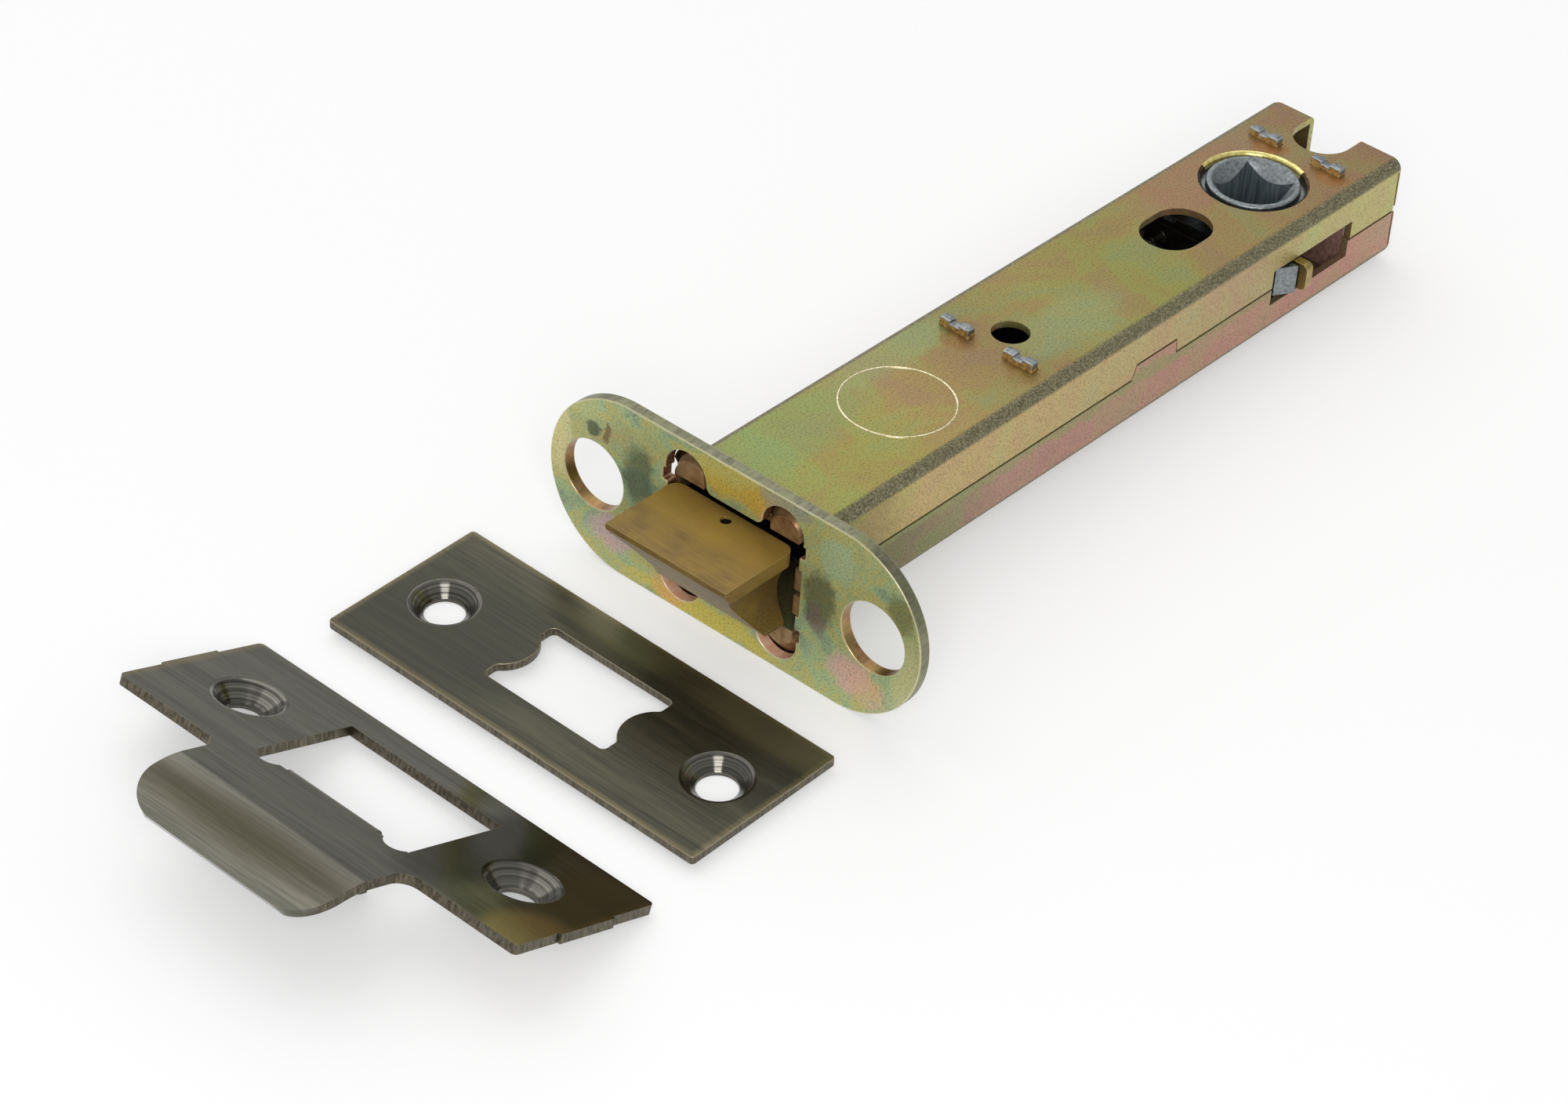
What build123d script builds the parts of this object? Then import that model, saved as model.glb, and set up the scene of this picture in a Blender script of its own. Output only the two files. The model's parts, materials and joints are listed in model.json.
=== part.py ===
"""Door latch: a heavy tubular mortice latch with its face plate and its strike plate.

Millimetres. The latch lies along X: the front face of the forend is at x = 0, the case runs to +X,
the spindle axis points up +Z. The two plates lie loose in front of it, on the plane it rests on."""

import os
from math import atan, atan2, cos, degrees, radians, sin, sqrt

from build123d import *

os.makedirs("parts", exist_ok=True)

# Case, folded from sheet in two halves that meet on the sides
backset = 108.0  # forend front face to the spindle axis
rear_l = 20.4  # spindle axis to the rear of the case
case_w = 22.9  # along Y
case_h = 15.6  # along Z
sheet = 1.0
bend_r = 1.8  # outside radius of the long folds
rear_bend_r = 1.15  # and of the fold at the rear end
seam_z = -0.3
seam_gap = 0.08
key_x = (67.2, 76.9)  # the lower half's tab that locks into the upper half
key_rise = 2.1
key_slant = 0.8
flange_gap = 0.3  # slit between the side wall and the turned-down rear wall
flange_open = 0.7  # each rear wall stops this far from the seam
pilot_x = 54.5
pilot_d = 5.3

# Forend, staked onto the case
forend_l = 62.2
forend_h = 26.2
forend_t = 1.8
forend_screws = 46.9  # between the screw holes
forend_hole_d = 10.1
mouth_step = (0.45, 0.65)  # the case is this much wider and higher than the opening, each side
lobe_r = 3.4  # round corners of the opening, where the case's ears show
lobe_in = 2.9  # lobe centre inside the opening's end
lobe_over = 0.95  # and beyond its long edge
lobe_blend = 1.1
notch_w = 0.9  # square notch at the side of each lobe
notch_below = (2.5, 0.7)  # its limits, measured from the lobe's centre
tongue_z = ((0.4, 3.6), (-3.4, -0.5))  # side tongues of the upper and lower half
tongue_front = 0.15
tongue_fit = 0.05
ear_r = 2.4  # half-round ears turned out at the front of each half
ear_in = (0.2, 0.75)  # ear centre inside the lobe centre, along Y and Z
ear_back = 0.7  # ear stands this far behind the front face
swell_r = 3.25  # swollen corner of the case behind each ear
swell_l = 3.0
swell_fit = 0.08  # to the back of the forend
swell_slope = 1.8

# Spindle hub
spindle = 8.0  # square
hub_rim = 0.75  # ring round the funnel that leads into the socket
hub_r = 6.65
hub_sunk = 0.05  # its ends lie a little inside the case's faces
hub_round = 0.35
hub_gap = 0.65
rim_round = 0.6  # rounded edge of the hub hole in the case
collar_step = 1.55
collar_gap = 0.3
bar_h = 4.4  # cross bar of the hub, which pulls the bolt back
bar_back = 5.3  # its flat rear face, in front of the axis
bar_front = 8.2
bar_out = 1.05  # its tips stand out of the case
bar_slant = 1.6

# Fixing slots and side windows
fixing = 19.0  # bolt-through fixings stand this far from the spindle axis
slot_in = 1.3  # centre of each slot lies this much nearer to the spindle
slot_w = 8.64
slot_l = 11.2
window_front = 1.3  # clear length in front of the bar
window_rear = 0.55  # and behind the drawbar's tabs, pulled back
window_low = 0.8
window_high = 0.05
window_step = 0.35  # the upper half's window is this much longer at the rear

# Cast blocks across the case, staked through both halves
front_nib_x = 49.85
front_block = (1.65, 1.75)  # before and behind the nibs
rear_block = (1.2, 1.2)
rear_block_gap = 0.4  # behind the windows
block_fit = 0.1
nib_l = 4.9  # along Y
nib_t = 1.4
nib_y = 5.35
nib_rise = 1.3
nib_dent = 0.45
nib_slot = 0.1

# Latch bolt
throw = 11.5
bolt_out = 12.5  # nose beyond the forend's front face
bolt_in = 0.5  # rear end inside it
bolt_play = (1.0, 1.05)  # to the opening's edges along Y and Z
bolt_nose = 0.8
bolt_foot = 3.2  # the bevel ends this far in front of the forend
bolt_flange = 2.1
waist_in = 2.5
waist_z = -0.4
foot_in = 0.9
foot_h = 0.5
bolt_round = 1.6
pin_x = -1.3
pin_r = 0.8
pin_fit = 0.01
pin_sunk = (0.6, 0.35)  # below the foot and the top of the bolt

# Drawbar, a flat steel plate above the hub's bar
bar_gap = 0.4
bar_t = 1.2
tongue_l = 4.5
tongue_w = 12.0
tongue_play = 0.1
wing_x = (1.3, 12.0)
wing_gap = 0.3
stem_w = 10.0
stem_gap = 0.3
rail_x = 66.0
rail_gap = 0.85  # to the hub's barrel
fork_x = 72.0
tab_play = 0.25  # between the bar and the tabs at rest
tab_t = 1.4
tab_reach = 2.45  # the tabs stand out of the case
tab_in = 1.95  # outside the hub's barrel
tab_low = -1.6
tab_round = 0.9
seat_w = 11.0  # turned-down tab that takes the bolt spring
seat_gap = 0.5

# Springs
bolt_spring_r = 3.9  # to the middle of the wire
bolt_spring_wire = 0.55  # wire radius
bolt_spring_turns = 4
lever_spring_r = 1.75
lever_spring_wire = 0.45
lever_spring_in = 3.25  # its axis inside the case's wall
lever_spring_turns = 5
spring_gap = 0.25  # over the bolt spring
spigot_l = 2.5
spigot_play = 0.3

# Spring plate in front of the hub's bar
plate_play = 0.3
plate_t = 1.2
plate_gap = 0.55
pad_w = 12.0
pad_rise = 1.0

# Face plate
face_l = 63.0
face_w = 25.7
face_t = 1.2
face_corner = 0.6
face_screws = 47.3
face_sink_d = 8.9
face_hole_d = 5.4
face_land = 0.5
face_mouth_l = 20.8
face_mouth_w = 12.6
face_bump = 8.45  # from the middle to the crown of each bump
face_bump_r = 4.9
face_blend = 0.8
face_at = (-21.9, 4.8)
face_turn = 0.8

# Strike plate
strike_l = 68.4
strike_w = 24.3
strike_t = 1.35
strike_corner = 0.7
strike_screws = 47.4
strike_sink_d = 9.4
strike_hole_d = 5.0
strike_land = 0.8
strike_step = (9.4, 0.4)  # low step on each short edge: length, height
box_l = 26.2  # opening
box_far = 4.5
box_near = 21.0
box_ear_r = 2.2
box_ear_s = 10.9
box_ear_q = 20.0
tang_w = 15.4
tang_l = 7.4
lip_w = 32.2
lip_flat = 30.0  # the lip stays flat this far from the long edge
lip_r = 13.6
lip_turn = 46.0
lip_corner = 5.8  # measured on the bent lip
lip_lean = 10.0  # the corners are cut square to the lip this much before its end
lip_blend = 2.4
strike_at = (-43.3, 6.1)
strike_turn = 1.2

# Pressed countersinks of both plates
cup_wall = 0.8
sink_round = 1.0

# Places that follow from the sizes above
half_w, half_h = case_w / 2, case_h / 2
in_w, in_h = half_w - sheet, half_h - sheet
lever_spring_y = in_w - lever_spring_in
case_end = backset + rear_l
slot_off = fixing - slot_in
mouth_w, mouth_h = case_w - 2 * mouth_step[0], case_h - 2 * mouth_step[1]
lobe_y, lobe_z = mouth_w / 2 - lobe_in, mouth_h / 2 + lobe_over
bar_tip = half_w + bar_out
bar_z = (bar_h / 2 + bar_gap, bar_h / 2 + bar_gap + bar_t)  # the drawbar's two faces
tab_x = backset - bar_back + tab_play
tab_y = (hub_r + tab_in, half_w + tab_reach)
tab_top = bar_z[0] - 0.1
window_x = (backset - bar_front - window_front, tab_x + tab_t + throw + window_rear)
window_z = (-bar_h / 2 - window_low, bar_z[0] + window_high)
rear_nib_x = window_x[1] + rear_block_gap + rear_block[0]
bolt_w, bolt_h = mouth_w - 2 * bolt_play[0], mouth_h - 2 * bolt_play[1]
rail_in, rail_out = hub_r + rail_gap, in_w - wing_gap
seat_x = wing_x[1] - bar_t
bolt_spring_z = bar_z[0] - spring_gap - bolt_spring_r - bolt_spring_wire
plate_face = backset - bar_front - plate_play
plate_front = plate_face - pad_rise - plate_t
far = 300.0  # beyond everything, for cuts

# The latch rests on the forend's lower edge and on the lower rear nibs
nib_low = half_h + nib_rise
rest_slope = (forend_h / 2 - nib_low) / (rear_nib_x + nib_t / 2 - forend_t)
rest_tilt = degrees(atan(rest_slope))


def rest_z(x):
    return -forend_h / 2 + rest_slope * (x - forend_t)


def block(x, y, z):
    """Box between pairs of limits."""
    size = [b - a for a, b in (x, y, z)]
    mid = [(a + b) / 2 for a, b in (x, y, z)]
    return Pos(*mid) * Box(*size)


def post(r, z, x=0.0, y=0.0):
    """Cylinder along Z between two heights."""
    return Pos(x, y, (z[0] + z[1]) / 2) * Cylinder(r, z[1] - z[0])


def rod(r, x, y=0.0, z=0.0):
    """Cylinder along X between two stations."""
    return Pos((x[0] + x[1]) / 2, y, z) * Rot(0, 90, 0) * Cylinder(r, x[1] - x[0])


def obround(x_mid, length, width, z):
    """Slot along X with round ends, as a cutter along Z."""
    h = (length - width) / 2
    return (
        block((x_mid - h, x_mid + h), (-width / 2, width / 2), z)
        + post(width / 2, z, x_mid - h)
        + post(width / 2, z, x_mid + h)
    )


def outer(s, a, b):
    """Limits a to b on the +Y or the -Y side, in rising order."""
    return sorted((s * a, s * b))


# Upper half of the case as a tray with its open side down, from the seam up
def rear_fold(solid, z, x):
    """The edges round a tray's rear end at height z."""
    return [
        e
        for e in solid.edges()
        if e.center().X > x - 0.1
        and e.center().Z > z - bend_r
        and abs(e.tangent_at(0.5).X) < 0.1
        and (e.geom_type == GeomType.CIRCLE or e.center().Z > z - 0.01)
    ]


def folded(x, y, z, long_r, end_r):
    """Box with its two long upper edges and its upper rear edge rounded as in a fold."""
    solid = block(x, y, z)
    solid = fillet([e for e in solid.edges().filter_by(Axis.X) if e.center().Z > z[1] - 0.1], long_r)
    return fillet(rear_fold(solid, z[1], x[1]), end_r)


def tray(low):
    wall = case_end - sheet
    shell = folded((forend_t, case_end), (-half_w, half_w), (low, half_h), bend_r, rear_bend_r)
    shell -= folded((-far, wall), (-in_w, in_w), (-far, in_h), bend_r - sheet, rear_bend_r - sheet)
    for s in (1, -1):
        shell -= block((wall - flange_gap, wall), outer(s, in_w - 0.2, far), (low - 1, half_h - bend_r))
    shell -= block((wall - 0.01, far), (-far, far), (low - 1, low + flange_open))
    shell -= block((wall - 0.01, far), (-slot_w / 2, slot_w / 2), (low - 1, half_h + 1))
    swell_x = (forend_t + swell_fit, forend_t + swell_fit + swell_l)
    for s in (1, -1):
        y, z = s * (lobe_y - ear_in[0]), lobe_z - ear_in[1]
        swell = rod(swell_r, swell_x, y, z)
        ends = [e for e in swell.edges().filter_by(GeomType.CIRCLE) if e.center().X > swell_x[1] - 0.1]
        ear = rod(ear_r, (ear_back, swell_x[0] + 0.2), y, z) + chamfer(ends, swell_slope)
        shell += ear - block((-1, swell_x[1] + 1), (-far, far), (-far, in_h))
    return shell


def through_cuts(z):
    """Everything cut in the flat wall of a half."""
    cuts = post(hub_r + hub_gap, z, backset)
    cuts += obround(backset - slot_off, slot_l, slot_w, z)
    cuts += obround(backset + slot_off, slot_l, slot_w, z)
    cuts += post(pilot_d / 2, z, pilot_x)
    half_t, half_l = nib_t / 2 + nib_slot, nib_l / 2 + nib_slot
    for x in (front_nib_x, rear_nib_x):
        for y in (nib_y, -nib_y):
            cuts += block((x - half_t, x + half_t), (y - half_l, y + half_l), z)
    return cuts


def case_half(low):
    half = tray(low) - through_cuts((in_h - 1, half_h + 1))
    rims = [
        e
        for e in half.edges().filter_by(GeomType.CIRCLE)
        if abs(e.radius - hub_r - hub_gap) < 0.01 and abs(e.center().Z - half_h) < 0.01
    ]
    return fillet(rims, rim_round)


def key(grow):
    """The lower half's locking tab, as a prism through both side walls."""
    x0, x1 = key_x
    top = seam_z + key_rise
    outline = [
        (x0 - grow, seam_z - 0.5),
        (x1 + grow, seam_z - 0.5),
        (x1 + grow, seam_z),
        (x1 - 0.3 + grow, top + grow),
        (x0 + key_slant - grow, top + grow),
        (x0 - grow, seam_z),
    ]
    face = make_face(Polyline([(x, 0, z) for x, z in outline], close=True))
    prism = extrude(face, amount=half_w, dir=(0, 1, 0), both=True)
    return prism - block((-far, far), (-in_w, in_w), (-far, far))


window = block(window_x, (-far, far), window_z)
upper_window = block((window_x[0], window_x[1] + window_step), (-far, far), window_z)
case_upper = case_half(seam_z + seam_gap / 2) - upper_window - key(seam_gap)
case_lower = mirror(case_half(-seam_z + seam_gap / 2), Plane.XY) + key(0.0) - window
for s in (1, -1):
    y = outer(s, in_w, half_w)
    case_upper += block((tongue_front, forend_t + 0.2), y, tongue_z[0])
    case_lower += block((tongue_front, forend_t + 0.2), y, tongue_z[1])

# Forend: a flat plate with round ends
with BuildSketch(Plane.YZ) as outline:
    SlotOverall(forend_l, forend_h)
    with Locations((forend_screws / 2, 0), (-forend_screws / 2, 0)):
        Circle(forend_hole_d / 2, mode=Mode.SUBTRACT)
with BuildSketch(Plane.YZ) as mouth:
    Rectangle(mouth_w, mouth_h)
    with Locations(*[(a * lobe_y, b * lobe_z) for a in (1, -1) for b in (1, -1)]):
        Circle(lobe_r)
mouth_cut = extrude(mouth.sketch, amount=forend_t)
corners = [
    e
    for e in mouth_cut.edges().filter_by(Axis.X)
    if abs(e.center().Y) < lobe_y and abs(abs(e.center().Z) - mouth_h / 2) < 0.05
]
forend_plate = extrude(outline.sketch, amount=forend_t) - fillet(corners, lobe_blend)
for s in (1, -1):
    staked = (tongue_z[1][0] - tongue_fit, tongue_z[0][1] + tongue_fit)
    forend_plate -= block((-1, far), outer(s, mouth_w / 2 - 0.5, half_w + tongue_fit), staked)
    for side in (1, -1):
        z = outer(side, lobe_z - notch_below[0], lobe_z - notch_below[1])
        forend_plate -= block((-1, far), outer(s, mouth_w / 2 - 0.5, mouth_w / 2 + notch_w), z)


# Cast blocks with their staked nibs
def staked_block(x_mid, reach):
    """Block across the case, with two nibs through each half that are crimped in the middle."""
    y, z = in_w - block_fit, in_h - block_fit
    body = block((x_mid - reach[0], x_mid + reach[1]), (-y, y), (-z, z))
    body = chamfer(body.edges().filter_by(Axis.X), bend_r - sheet)
    for side in (1, -1):
        for y in (nib_y, -nib_y):
            height = outer(side, z - 0.2, nib_low)
            dent = outer(side, nib_low - nib_dent, nib_low + 1)
            nib = block((x_mid - nib_t / 2, x_mid + nib_t / 2), (y - nib_l / 2, y + nib_l / 2), height)
            body += nib - block((x_mid - 2, x_mid + 2), (y - nib_l * 0.14, y + nib_l * 0.14), dent)
    return body


front_x = (front_nib_x - front_block[0], front_nib_x + front_block[1])
bolt_spigot_r = bolt_spring_r - bolt_spring_wire - spigot_play
lever_spigot_r = lever_spring_r - lever_spring_wire - spigot_play
front_cast = staked_block(front_nib_x, front_block)
stem_way = stem_w / 2 + stem_gap
front_cast -= block((0, far), (-stem_way, stem_way), (bar_z[0] - stem_gap, bar_z[1] + stem_gap))
front_cast += rod(bolt_spigot_r, (front_x[0] - spigot_l, front_x[0] + 1), 0, bolt_spring_z)
for y in (lever_spring_y, -lever_spring_y):
    front_cast += rod(lever_spigot_r, (front_x[1] - 1, front_x[1] + spigot_l), y)
rear_cast = staked_block(rear_nib_x, rear_block)

# Hub: barrel, collars, cross bar and square socket with a round funnel at each end
hub_top = half_h - hub_sunk
hub = fillet(post(hub_r, (-hub_top, hub_top)).edges().filter_by(GeomType.CIRCLE), hub_round)
collar = (bar_z[1] + bar_gap, in_h - collar_gap)
for side in (1, -1):
    hub += post(hub_r + collar_step, outer(side, *collar))
bar = Polyline(
    [
        (-bar_back, bar_tip),
        (-bar_front, bar_tip - bar_slant),
        (-bar_front, bar_slant - bar_tip),
        (-bar_back, -bar_tip),
    ],
    close=True,
)
hub += Pos(0, 0, -bar_h / 2) * extrude(make_face(bar), amount=bar_h)
hub -= Box(spindle, spindle, 2 * hub_top + 2)
funnel_r = hub_r - hub_rim
funnel = Cone(spindle / 2 - 0.2, funnel_r, funnel_r - spindle / 2 + 0.2)
funnel_mid = hub_top - (funnel_r - spindle / 2 + 0.2) / 2
for over in (0, 180):
    hub -= Rot(over, 0, 0) * Pos(0, 0, funnel_mid) * funnel
hub = Pos(backset, 0, 0) * hub

# Latch bolt: waisted bar, bevelled below, slotted at the rear for the drawbar
top, foot, side = bolt_h / 2, -bolt_h / 2, bolt_w / 2
under = top - bolt_flange
foot_y, foot_z = side - foot_in, foot + foot_h
with BuildSketch(Plane.YZ.offset(-bolt_out)) as section:
    with BuildLine():
        Polyline((-foot_y, foot_z), (-foot_y, foot), (foot_y, foot), (foot_y, foot_z))
        ThreePointArc((foot_y, foot_z), (side - waist_in, waist_z), (side, under))
        Polyline((side, under), (side, top), (-side, top), (-side, under))
        ThreePointArc((-side, under), (waist_in - side, waist_z), (-foot_y, foot_z))
    make_face()
plan = block((-bolt_out - 1, bolt_in), (-side, side), (-bolt_h, bolt_h))
plan = fillet([e for e in plan.edges().filter_by(Axis.Z) if e.center().X > 0], bolt_round)
bevel = Polyline(
    [
        (-bolt_out, 0, top - bolt_nose),
        (-bolt_out - 5, 0, top - bolt_nose),
        (-bolt_out - 5, 0, foot - 3),
        (-bolt_foot, 0, foot - 3),
        (-bolt_foot, 0, foot),
    ],
    close=True,
)
latch_bolt = extrude(section.sketch, amount=bolt_out + bolt_in) & plan
latch_bolt -= extrude(make_face(bevel), amount=bolt_w, dir=(0, 1, 0), both=True)
slot_y = tongue_w / 2 + tongue_play
latch_bolt -= block((-tongue_l, 5), (-slot_y, slot_y), (bar_z[0] - tongue_play, bar_z[1] + tongue_play))
latch_bolt -= post(pin_r, (-far, far), pin_x)
bolt_pin = post(pin_r - pin_fit, (foot + pin_sunk[0], top - pin_sunk[1]), pin_x)

# Drawbar: tongue in the bolt, wings, stem, fork round the hub and two turned-down tabs
drawbar = block((-tongue_l + 0.2, wing_x[0] + 1), (-tongue_w / 2, tongue_w / 2), bar_z)
drawbar += block(wing_x, (-rail_out, rail_out), bar_z)
drawbar += block((wing_x[0], rail_x + 2), (-stem_w / 2, stem_w / 2), bar_z)
drawbar += block((rail_x, tab_x + tab_t), (-rail_out, rail_out), bar_z)
drawbar -= block((fork_x, far), (-rail_in, rail_in), (0, 9))
inner_corners = [
    e for e in drawbar.edges().filter_by(Axis.Z) if rail_x - 0.1 < e.center().X < fork_x + 0.1
]
drawbar = fillet(inner_corners, 1.5)
for s in (1, -1):
    tab = block((tab_x, tab_x + tab_t), outer(s, *tab_y), (tab_low, tab_top))
    tab = fillet([e for e in tab.edges().filter_by(Axis.X) if s * e.center().Y > tab_y[1] - 0.1], tab_round)
    drawbar += tab + block((tab_x, tab_x + tab_t), outer(s, tab_y[0], rail_out), (tab_top - 1, bar_z[1]))
drawbar += block((seat_x, seat_x + bar_t), (-seat_w / 2, seat_w / 2), (seat_gap - in_h, bar_z[0] + 0.5))
drawbar += rod(bolt_spigot_r, (seat_x + bar_t - 0.5, seat_x + bar_t + spigot_l), 0, bolt_spring_z)
drawbar -= post(pin_r, (0, 9), pin_x)

# Spring plate that returns the hub
plate_y = in_w - plate_gap
spring_plate = block((plate_front, plate_front + plate_t), (-plate_y, plate_y), (-bar_h / 2, bar_h / 2))
spring_plate += block((plate_front, plate_face), (-pad_w / 2, pad_w / 2), (-bar_h / 2, bar_h / 2))
for y in (lever_spring_y, -lever_spring_y):
    spring_plate += rod(lever_spigot_r, (plate_front - spigot_l, plate_front + 0.5), y)


def spring(x, r, wire, turns, y=0.0, z=0.0):
    """Wire wound along X between two faces, six-sided so that the hidden coils stay light."""
    length = x[1] - x[0] - 2 * wire - 0.1
    path = Helix(length / turns, length, r)
    ring = Plane(origin=path @ 0, z_dir=path % 0) * RegularPolygon(wire, 6)
    return Pos(x[0] + wire + 0.05, y, z) * Rot(0, 90, 0) * sweep(ring, path=path)


seat_face = seat_x + bar_t
bolt_spring = spring(
    (seat_face, front_x[0]), bolt_spring_r, bolt_spring_wire, bolt_spring_turns, 0, bolt_spring_z
)
lever_spring = spring((front_x[1], plate_front), lever_spring_r, lever_spring_wire, lever_spring_turns)


def pressed_hole(plate, x, y, t, wide, hole, land):
    """Countersink pressed into a plate of thickness t, so that its cup stands out below."""
    run = (wide - hole) / 2
    low = t - run - land
    cup_top = wide / 2 - t + cup_wall * sqrt(2)
    plate += Pos(x, y, low / 2) * Cone(hole / 2 + cup_wall, cup_top, -low)
    plate -= Pos(x, y, t - run / 2 + 0.1) * Cone(hole / 2, wide / 2 + 0.2, run + 0.2)
    plate -= post(hole / 2, (low - 1, t), x, y)
    rim = [
        e
        for e in plate.edges().filter_by(GeomType.CIRCLE)
        if abs(e.radius - wide / 2) < 0.01 and abs(e.arc_center.Z - t) < 0.01 and abs(e.arc_center.Y - y) < 1
    ]
    return fillet(rim, sink_round)


# Face plate, standing on its two cups: length along Y
with BuildSketch() as opening:
    Rectangle(face_mouth_w, face_mouth_l)
    with Locations((0, face_bump + face_bump_r), (0, -face_bump - face_bump_r)):
        Circle(face_bump_r, mode=Mode.SUBTRACT)
opening_cut = extrude(opening.sketch, amount=face_t)
opening_cut = fillet(opening_cut.edges().filter_by(Axis.Z), face_blend)
face_plate = block((-face_w / 2, face_w / 2), (-face_l / 2, face_l / 2), (0, face_t))
face_plate = fillet(face_plate.edges().filter_by(Axis.Z), face_corner) - opening_cut
for s in (1, -1):
    y = s * face_screws / 2
    face_plate = pressed_hole(face_plate, 0, y, face_t, face_sink_d, face_hole_d, face_land)
face_lift = (face_sink_d - face_hole_d) / 2 + face_land - face_t
face_plate = Rot(0, -rest_tilt, 0) * Pos(0, 0, face_lift) * Rot(0, 0, -face_turn) * face_plate
face_plate = Pos(*face_at, rest_z(face_at[0])) * face_plate

# Strike plate: its far long edge at x = 0, the lip towards -X, its tang below
strike = block((-strike_w, 0), (-strike_l / 2, strike_l / 2), (0, strike_t))
strike = fillet([e for e in strike.edges().filter_by(Axis.Z)], strike_corner)
step_x = (-strike_w / 2 - strike_step[0] / 2, -strike_w / 2 + strike_step[0] / 2)
step_y = strike_l / 2 + strike_step[1]
strike += block(step_x, (-step_y, step_y), (0, strike_t))
turn = radians(lip_turn)


def on_lip(r, angle):
    """Point on the lip's curve of radius r, seen along Y."""
    return (-lip_flat - r * sin(angle), strike_t - lip_r + r * cos(angle))


lip_under = lip_r - strike_t
with BuildSketch(Plane.XZ) as lip_side:
    with BuildLine():
        Polyline((-strike_w + 1, 0), (-strike_w + 1, strike_t), (-lip_flat, strike_t))
        ThreePointArc((-lip_flat, strike_t), on_lip(lip_r, turn / 2), on_lip(lip_r, turn))
        Line(on_lip(lip_r, turn), on_lip(lip_under, turn))
        ThreePointArc(on_lip(lip_under, turn), on_lip(lip_under, turn / 2), (-lip_flat, 0))
        Line((-lip_flat, 0), (-strike_w + 1, 0))
    make_face()
trim = block((0, far), (-lip_w / 2, lip_w / 2), (-far, far))
trim = fillet([e for e in trim.edges().filter_by(Axis.Z) if e.center().X < 1], lip_corner)
lip_x, lip_z = on_lip(lip_r, turn)
trim = Pos(lip_x, 0, lip_z) * Rot(0, lip_lean - lip_turn, 0) * trim
strike += extrude(lip_side.sketch, amount=lip_w / 2, both=True) & trim
inside = [
    e
    for e in strike.edges().filter_by(Axis.Z)
    if abs(e.center().X + strike_w) < 0.01 and abs(abs(e.center().Y) - lip_w / 2) < 0.01
]
strike = fillet(inside, lip_blend)
box_cut = block((-box_near, -box_far), (-box_l / 2, box_l / 2), (-1, strike_t + 1))
for s in (1, -1):
    box_cut += post(box_ear_r, (-1, strike_t + 1), -box_ear_q, s * box_ear_s)
strike -= box_cut
tang_x = strike_t - box_near
tang = block((-box_near, tang_x), (-tang_w / 2, tang_w / 2), (-tang_l, strike_t))
fold = [e for e in tang.edges().filter_by(Axis.Y) if e.center().Z > 0 and e.center().X > tang_x - 0.1]
strike += fillet(fold, strike_t * 0.9)
for s in (1, -1):
    y = s * strike_screws / 2
    strike = pressed_hole(strike, -strike_w / 2, y, strike_t, strike_sink_d, strike_hole_d, strike_land)
strike_tilt = degrees(atan2(tang_l, -tang_x))
strike = Rot(0, strike_tilt - rest_tilt, 0) * Rot(0, 0, -strike_turn) * strike
strike_plate = Pos(*strike_at, rest_z(strike_at[0])) * strike

nodes = {
    "case_upper": case_upper,
    "case_lower": case_lower,
    "forend_plate": forend_plate,
    "front_block": front_cast,
    "rear_block": rear_cast,
    "hub": hub,
    "latch_bolt": latch_bolt,
    "bolt_pin": bolt_pin,
    "drawbar": drawbar,
    "spring_plate": spring_plate,
    "bolt_spring": bolt_spring,
    "lever_spring_left": Pos(0, lever_spring_y, 0) * lever_spring,
    "lever_spring_right": Pos(0, -lever_spring_y, 0) * lever_spring,
    "face_plate": face_plate,
    "strike_plate": strike_plate,
}
for name, shape in nodes.items():
    export_step(shape, f"parts/{name}.step")
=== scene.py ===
# %% [markdown]
# A tubular mortice latch lies on its side on a white table, with its face plate and its strike plate
# beside it. Its solids come from a CAD model. They could be modelled again in Blender, but would then drift
# from their measured sizes, so this lesson leaves them where they are and dresses them: a camera, light,
# softened edges, stamped and staked details, and finishes. First the frame is loaded, and its size is kept,
# because nothing that follows may make the latch larger.

# %% Load the frame
import json
import math

import bmesh
import bpy
from mathutils import Euler, Matrix, Vector, noise


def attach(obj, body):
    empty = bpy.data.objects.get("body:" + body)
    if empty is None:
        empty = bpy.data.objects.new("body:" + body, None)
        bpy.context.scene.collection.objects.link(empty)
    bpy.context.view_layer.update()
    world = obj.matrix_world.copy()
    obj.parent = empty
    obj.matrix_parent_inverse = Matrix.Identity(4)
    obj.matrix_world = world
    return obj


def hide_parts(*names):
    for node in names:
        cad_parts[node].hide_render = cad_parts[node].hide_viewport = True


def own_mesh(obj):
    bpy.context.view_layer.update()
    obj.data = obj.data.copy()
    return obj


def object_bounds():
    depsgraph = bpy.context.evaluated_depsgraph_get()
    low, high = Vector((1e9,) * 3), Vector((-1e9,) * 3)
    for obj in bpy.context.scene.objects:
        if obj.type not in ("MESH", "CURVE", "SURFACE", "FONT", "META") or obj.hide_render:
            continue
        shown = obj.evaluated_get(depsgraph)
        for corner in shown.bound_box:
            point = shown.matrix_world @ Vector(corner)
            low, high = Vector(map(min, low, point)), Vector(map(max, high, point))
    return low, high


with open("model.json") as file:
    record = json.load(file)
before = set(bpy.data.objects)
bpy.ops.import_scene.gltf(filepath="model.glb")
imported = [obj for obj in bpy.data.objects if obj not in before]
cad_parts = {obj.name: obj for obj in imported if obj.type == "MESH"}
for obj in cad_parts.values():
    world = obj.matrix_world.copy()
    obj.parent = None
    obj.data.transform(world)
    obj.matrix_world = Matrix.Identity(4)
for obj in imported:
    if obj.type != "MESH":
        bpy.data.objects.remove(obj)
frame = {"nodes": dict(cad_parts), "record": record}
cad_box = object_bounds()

mm = 0.001
behaviour = frame["record"]["behaviour"]
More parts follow.
